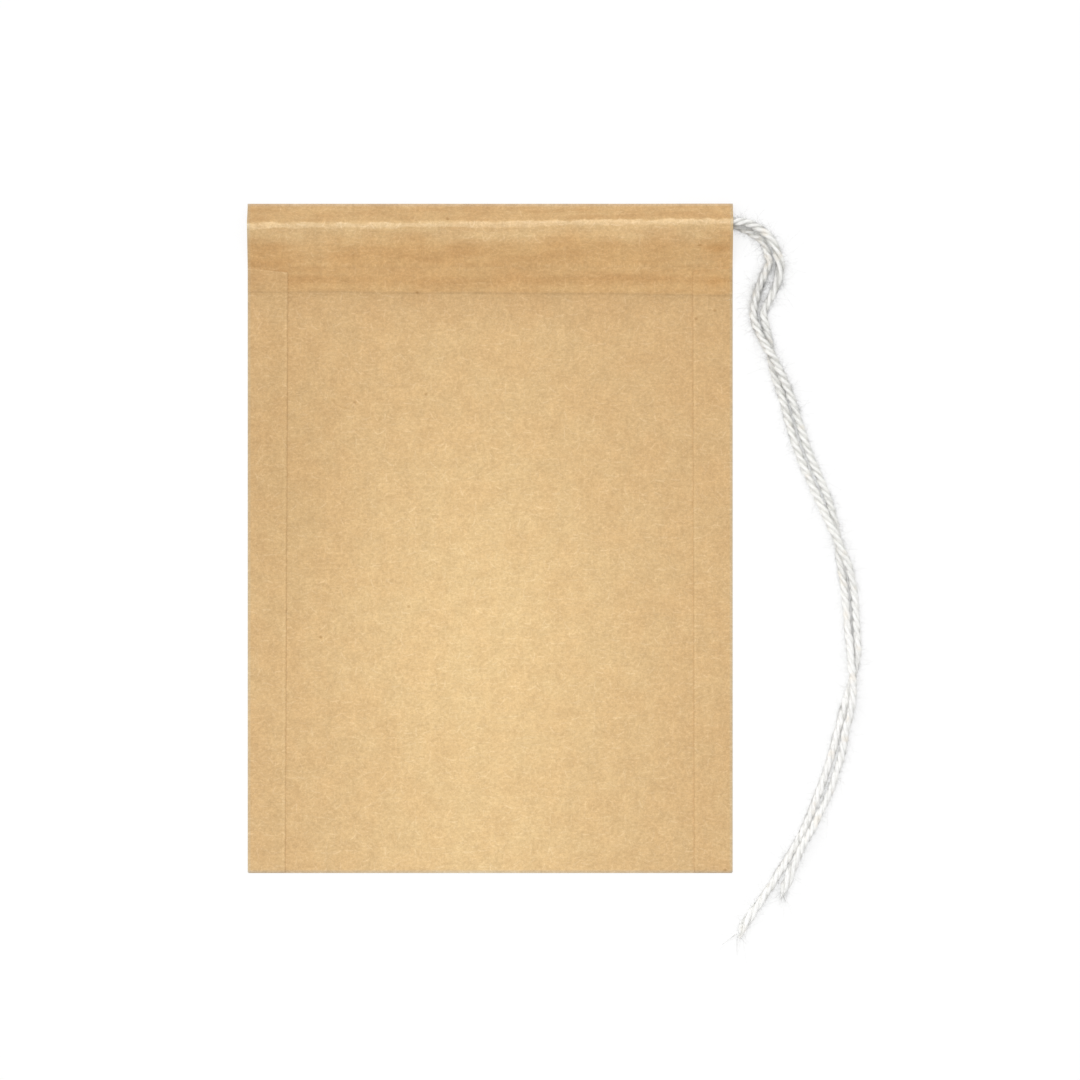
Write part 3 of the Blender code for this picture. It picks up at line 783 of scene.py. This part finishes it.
points, uvs, quads = np.vstack(points), np.concatenate(uvs), np.vstack(quads)
flat = bpy.data.meshes.new("sheet_middle")
flat.from_pydata(points.tolist(), [], quads.tolist())
for number, name in enumerate(("sheet", "lines", "flap")):
    flat.uv_layers.new(name=name).data.foreach_set("uv", uvs[quads.ravel(), number].ravel())
blank = bpy.data.objects.new("sheet_middle", flat)
scene.collection.objects.link(blank)
thickness = blank.modifiers.new("thickness", "SOLIDIFY")
thickness.thickness = paper_thickness
thickness.offset = 0
thickness.use_even_offset = True
solid = bpy.data.meshes.new_from_object(blank.evaluated_get(bpy.context.evaluated_depsgraph_get()))
bpy.data.objects.remove(blank)
solid.shade_smooth()
solid.set_sharp_from_angle(angle=np.radians(60))
paper_bag = bpy.data.objects.new("folded_paper_bag", solid)
scene.collection.objects.link(paper_bag)

paper, paper_shader, start = new_material("filter_paper", Roughness=0.9, Specular_IOR_Level=0.2)
place = start.node("TexCoord", output="Object")
across = place.node("SeparateXYZ", inputs={0: place})
depth = half_height - across.also("Y")
sheet_place = start.node("UVMap", {"uv_map": "sheet"})
line_place = start.node("UVMap", {"uv_map": "lines"})
below_ridge = line_place.node("SeparateXYZ", inputs={0: line_place})
below_hem = below_ridge.also("Y")
flap_place = start.node("UVMap", {"uv_map": "flap"})
from_flap_edge = flap_place.node("SeparateXYZ", inputs={0: flap_place})
below_flap_top = from_flap_edge.also("Y")


def clouds(per_metre, detail, roughness, stretch, start_at):
    """Noise on the flat sheet, about 0.5 in the middle, drawn out sideways by the stretch."""
    settings = {"Vector": sheet_place, "Location": (start_at, start_at, 0), "Scale": (1 / stretch, 1, 1)}
    moved = sheet_place.node("Mapping", inputs=settings)
    values = {"Vector": moved, "Scale": per_metre, "Detail": detail, "Roughness": roughness}
    return sheet_place.node("TexNoise", {"noise_dimensions": "2D"}, values)


def fibre_strokes(per_metre, half_length, width, bow, start_at):
    """Fibres pressed in the paper: one curved stroke in each cell of a random pattern, lying mostly across.

    Along a stroke x goes from its middle, and its line is y = -bow x squared. The strongest give 1."""
    moved = sheet_place.vector_math("ADD", sheet_place, (start_at, start_at, 0))
    values = {"Vector": moved, "Scale": per_metre}
    middle = moved.node("TexVoronoi", {"voronoi_dimensions": "2D"}, values, "Position")
    chance = middle.node("SeparateColor", inputs={0: middle.also("Color")})
    lean = chance * 2 - 1
    from_middle = moved.vector_math("SUBTRACT", moved, middle)
    turned = {"Vector": from_middle, "Angle": lean * abs(lean) * 1.7}
    along = moved.node("VectorRotate", {"rotation_type": "Z_AXIS"}, turned)
    along = along.node("SeparateXYZ", inputs={0: along})
    off_line = abs(along.also("Y") + along * along * bow)
    in_width = 1 - off_line.ramp(0.3 * width, 0.7 * width)
    in_length = 1 - abs(along).ramp(0.5 * half_length, half_length)
    return in_width * in_length * chance.also("Green")


# Tone of the panel: palest in its lower middle, browner towards its sides and up to the hem
tone = depth.ramp(0.0112, 0.0185) * 0.38 + depth.ramp(0.013, 0.062) * 0.57 - depth.ramp(0.064, 0.074) * 0.09
tone = tone * (across.bell(-0.0014, 0.0215) * 0.78 + 0.22)
paper_colour = tone.mix((0.604, 0.395, 0.192, 1), (0.779, 0.555, 0.282, 1))
paper_colour = paper_colour.tinted(below_hem.bell(0.0002, 0.0010), (0.97, 0.97, 0.96, 1))
brown_patch = across.bell(-0.0275, 0.0075) * depth.bell(0.036, 0.018)
paper_colour = paper_colour.tinted(brown_patch, (0.945, 0.935, 0.915, 1))

# The hem: browner where four layers lie glued, paler on the slope below the ridge as painted light against
# the slope's shade, darker above the ridge as painted shade against the light there, and palest along the
# ridge, where the white string shows through the thin paper, with a painted highlight on its top. The streaks
# follow the fold.
streaks = clouds(700.0, detail=4.0, roughness=0.6, stretch=7.0, start_at=0.0)
blotches = clouds(1100.0, detail=3.0, roughness=0.6, stretch=2.5, start_at=0.3)
large_patches = clouds(120.0, detail=2.0, roughness=0.5, stretch=2.0, start_at=0.2)
# Painted light: paler on the slope below the ridge, against the slope's shade, varied by large random patches
slope_light_and_patches = below_ridge.ramp(0.0002, 0.0042) + (0.5 - large_patches) * 1.6
hem_colour = slope_light_and_patches.ramp(0, 1).mix((0.682, 0.469, 0.238, 1), (0.618, 0.382, 0.169, 1))
hem_colour = depth.ramp(0.0079, 0.0085).mix(hem_colour, (0.587, 0.368, 0.166, 1))
# Painted shade: darker above the ridge, against the light on the slope there
hem_colour = (1 - below_ridge.ramp(-0.0005, 0.0001)).mix(hem_colour, (0.587, 0.380, 0.180, 1))
hem_colour = hem_colour.tinted(depth.bell(0.0102, 0.0006), (0.95, 0.92, 0.89, 1))
hem_colour = hem_colour.tinted(below_hem.bell(-0.0005, 0.0004), (1.02, 1.03, 1.04, 1))
hem_colour = hem_colour.tinted(streaks.ramp(0.36, 0.68), (0.93, 0.895, 0.87, 1))
hem_colour = hem_colour.tinted(1.0, (1.035, 1.047, 1.05, 1))
# Palest along the ridge, where the white string shows through the thin paper, with a painted highlight on its
# top
from_ridge = abs(below_ridge + (blotches - 0.5) * 0.0009 + across.ramp(0.001, 0.011) * 0.00017 - 0.00026)
ridge = (1 - from_ridge.ramp(0.00018, 0.00048)) * (blotches + 0.45)
hem_colour = hem_colour.tinted(1 - across.ramp(-0.0310, -0.0235), (0.95, 0.935, 0.92, 1))
hem_colour = ridge.mix(hem_colour, (0.793, 0.571, 0.316, 1))
on_left_flap = (1 - from_flap_edge.ramp(0.01, 0.02)) * (1 - across.ramp(-0.001, 0.001))
in_hem = (1 - below_hem.ramp(-0.0002, 0.0003)) * (1 - on_left_flap * 0.6)
paper_colour = in_hem.mix(paper_colour, hem_colour)

# Flaps' edges: painted shadow as a dark line at the free edge, a painted highlight as a pale line beside it,
# and a painted highlight along the left flap's top
paper_colour = paper_colour.tinted(1 - from_flap_edge.ramp(0.00006, 0.00016), (0.92, 0.90, 0.88, 1))
paper_colour = paper_colour.tinted(from_flap_edge.bell(0.0003, 0.00012), (1.05, 1.06, 1.07, 1))
paper_colour = paper_colour.tinted(below_flap_top.bell(0.00014, 0.0001) * on_left_flap, (1.08, 1.10, 1.13, 1))

# Folded edges of the bag: a painted highlight, pale and cool, along the mouth's fold, and painted shade along
# the folds, greyer and cooler at the sides and darker at the bottom
paper_colour = paper_colour.tinted(1 - depth.ramp(0.0001, 0.0012), (1.06, 1.08, 1.11, 1))
paper_colour = paper_colour.tinted(1 - depth.ramp(0.0002, 0.00045), (0.99, 1.08, 1.33, 1))
side_fold_shade = abs(across).ramp(half_width - 0.0005, half_width - 0.0002)
bottom_fold_shade = depth.ramp(bag_height - 0.0005, bag_height - 0.0002)
paper_colour = paper_colour.tinted(side_fold_shade, (0.94, 1.05, 1.24, 1))
paper_colour = paper_colour.tinted(bottom_fold_shade, (0.85, 0.94, 1.16, 1))


def mark(x, below_mouth, half_length, half_breadth, turn=0):
    """A soft oval mark on the bag, 1 in its middle. Its place and size are in mm, and its turn in degrees."""
    centre = (x / 1000, half_height - below_mouth / 1000, 0)
    away = place.vector_math("SUBTRACT", place, centre)
    away = away.node("VectorRotate", {"rotation_type": "Z_AXIS"}, {"Vector": away, "Angle": np.radians(turn)})
    away = away.vector_math("MULTIPLY", away, (1000 / half_length, 1000 / half_breadth, 0))
    return 1 - away.vector_math("LENGTH", away, output="Value").ramp(0.2, 1.0)


# Marks of the real sheet: a few specks of dark fibre, a short crease painted as the shade of its fold, and
# brown patches of the hem
speck_places = [(-22.7, 58.1), (-18.1, 26.6), (-8.6, 25.5), (-9.8, 11.9), (-10.9, 54.0), (-5.7, 2.1),
                (27.6, 15.4), (30.1, 14.3), (31.5, 89.3)]
specks = sum(mark(*speck, 0.35, 0.28) for speck in speck_places) + mark(28.1, 5.6, 0.55, 0.18)
crease_shade = mark(-20.9, 26.5, 1.1, 0.30, 42) + mark(-19.6, 27.3, 0.9, 0.25, 15)
brown = mark(30.6, 10.4, 2.4, 1.1) + mark(30.0, 6.0, 2.2, 0.9)
paper_colour = paper_colour.tinted(specks, (0.76, 0.70, 0.62, 1))
# Painted shade of the crease's fold
paper_colour = paper_colour.tinted(crease_shade, (0.89, 0.86, 0.81, 1))
paper_colour = paper_colour.tinted(brown, (0.96, 0.91, 0.85, 1))

# Fibres and grain: soft clouds, fine grain, pale fibres of three sizes, and a mottle of warm and cool patches
cloudy = clouds(400.0, detail=5.0, roughness=0.95, stretch=1.0, start_at=0.9)
grain = clouds(2600.0, detail=2.0, roughness=0.9, stretch=1.3, start_at=0.7)
short_fibres = fibre_strokes(1500.0, half_length=0.0005, width=0.00014, bow=300, start_at=0.11)
curly_fibres = fibre_strokes(1100.0, half_length=0.0007, width=0.00015, bow=400, start_at=0.37)
long_fibres = fibre_strokes(500.0, half_length=0.0008, width=0.00018, bow=220, start_at=0.53)
fibres = short_fibres + curly_fibres
paper_colour = paper_colour.varied(cloudy.ramp(0.2, 0.8), (0.88, 0.87, 0.86, 1), (1.09, 1.10, 1.11, 1))
paper_colour = paper_colour.varied(grain.ramp(0.2, 0.8), (0.90, 0.89, 0.88, 1), (1.08, 1.09, 1.10, 1))
paper_colour = paper_colour.tinted(fibres * 0.7 + long_fibres * long_fibres * 1.8, (1.09, 1.13, 1.22, 1))
mottle = clouds(170.0, detail=5.0, roughness=0.6, stretch=1.0, start_at=0.5).ramp(0.35, 0.65)
paper_colour = paper_colour.varied(mottle, (1.01, 1.012, 1.012, 1), (1.01, 0.985, 0.965, 1))
paper_relief = start.node("Bump", inputs={"Strength": 0.3, "Distance": 0.00002, "Height": grain + fibres})
paper.node_tree.links.new(paper_colour.socket, paper_shader.inputs["Base Color"])
paper.node_tree.links.new(paper_relief.socket, paper_shader.inputs["Normal"])
solid.materials.clear()
solid.materials.append(paper)
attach(paper_bag, "root")
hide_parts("paper_bag")
